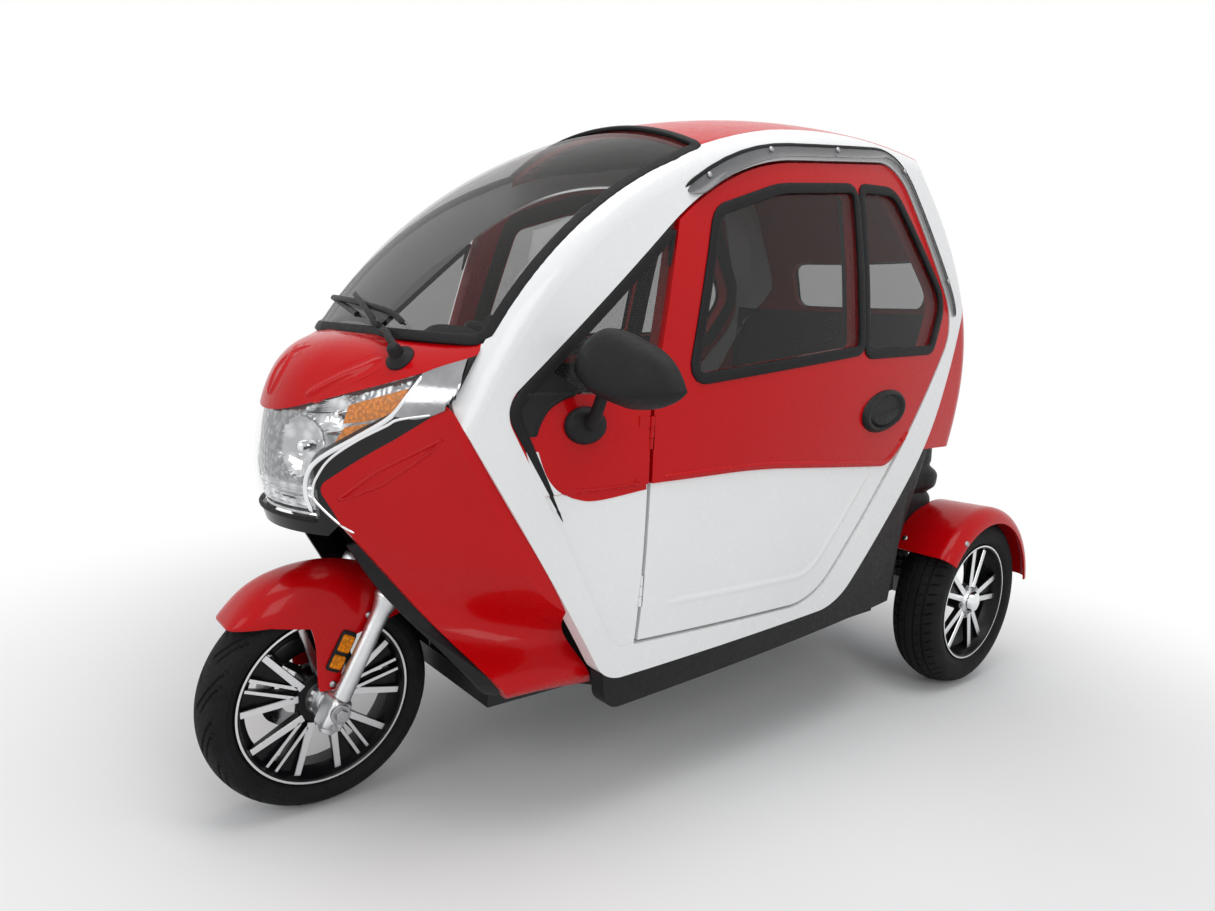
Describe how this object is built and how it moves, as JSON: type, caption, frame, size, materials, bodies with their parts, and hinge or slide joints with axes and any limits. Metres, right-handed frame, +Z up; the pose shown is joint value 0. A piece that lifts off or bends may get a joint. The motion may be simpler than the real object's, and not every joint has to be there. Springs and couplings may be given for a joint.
{
  "type": "enclosed electric tricycle",
  "caption": "Closed-cabin electric tricycle with a steered front wheel in a fork, driven rear wheels, hinged doors and a hooped red and white body.",
  "frame": {"origin": "on the ground under the middle of the tricycle's length and width", "axes": "+Z up, nose towards -Y, left side towards +X"},
  "size_m": [1.28, 2.2108, 1.4826],
  "materials": {
    "frame_paint": "satin",
    "black_plastic": "moulded grain",
    "gloss_black": "gloss",
    "white_paint": "gloss",
    "red_paint": "gloss",
    "tinted_glass": "tinted",
    "clear_lens": "clear",
    "tail_lens": "lens",
    "lamp_chrome": "bright",
    "fork_alloy": "satin",
    "fork_chrome": "bright",
    "wheel_alloy": "machined faces on black",
    "axle_steel": "brushed",
    "tyre_rubber": "matte",
    "seat_cover": "grained"
  },
  "bodies": {
    "body": {"chassis": "frame_paint", "floor_tub": "black_plastic", "side_frame_left": "white_paint", "side_frame_right": "white_paint", "roof_panel": "red_paint", "windshield": "tinted_glass", "hood": "red_paint", "headlamp_lens": "clear_lens", "headlamp_housing": "lamp_chrome", "nose_band": "gloss_black", "front_fairing": "red_paint", "front_liner": "black_plastic", "wheel_well": "black_plastic", "dashboard": "black_plastic", "quarter_panels": "red_paint", "quarter_skins": "white_paint", "quarter_glass": "tinted_glass", "mirrors": "black_plastic", "tail_body": "red_paint", "rear_window": "tinted_glass", "tail_lamps": "tail_lens", "rear_bumper": "black_plastic", "side_panels": "black_plastic", "rear_fenders": "red_paint", "rear_axle": "axle_steel", "dampers": "frame_paint", "battery_box": "black_plastic", "driver_seat": "seat_cover", "rear_seat": "seat_cover"},
    "steering": {"fork_legs": "fork_alloy", "fork_tubes": "fork_chrome", "fork_yoke": "frame_paint", "handlebar": "frame_paint", "front_axle": "axle_steel", "front_fender": "red_paint"},
    "front_wheel": {"front_tyre": "tyre_rubber", "front_rim": "wheel_alloy", "front_disc": "axle_steel"},
    "rear_wheel_left": {"rear_tyre_left": "tyre_rubber", "rear_rim_left": "wheel_alloy"},
    "rear_wheel_right": {"rear_tyre_right": "tyre_rubber", "rear_rim_right": "wheel_alloy"},
    "door_left": {"door_panel_left": "red_paint", "door_skin_left": "white_paint", "door_glass_left": "tinted_glass", "door_handle_left": "black_plastic"},
    "door_right": {"door_panel_right": "red_paint", "door_skin_right": "white_paint", "door_glass_right": "tinted_glass", "door_handle_right": "black_plastic"}
  },
  "joints": [
    {"name": "steering_turn", "type": "hinge", "parent": "body", "child": "steering", "pos_m": [0, -0.84746, 0.219], "axis": [0, 0.4384, 0.8988], "range_deg": [-35, 35]},
    {"name": "front_wheel_spin", "type": "hinge", "parent": "steering", "child": "front_wheel", "pos_m": [0, -0.8864, 0.219], "axis": [1, 0, 0], "continuous": true},
    {"name": "rear_wheel_left_spin", "type": "hinge", "parent": "body", "child": "rear_wheel_left", "pos_m": [0.39, 0.8336, 0.247], "axis": [1, 0, 0], "continuous": true},
    {"name": "rear_wheel_right_spin", "type": "hinge", "parent": "body", "child": "rear_wheel_right", "pos_m": [-0.39, 0.8336, 0.247], "axis": [1, 0, 0], "continuous": true},
    {"name": "door_left_swing", "type": "hinge", "parent": "body", "child": "door_left", "pos_m": [0.409, -0.4314, 0.62], "axis": [0, 0, -1], "range_deg": [0, 50]},
    {"name": "door_right_swing", "type": "hinge", "parent": "body", "child": "door_right", "pos_m": [-0.409, -0.4314, 0.62], "axis": [0, 0, 1], "range_deg": [0, 50]}
  ]
}
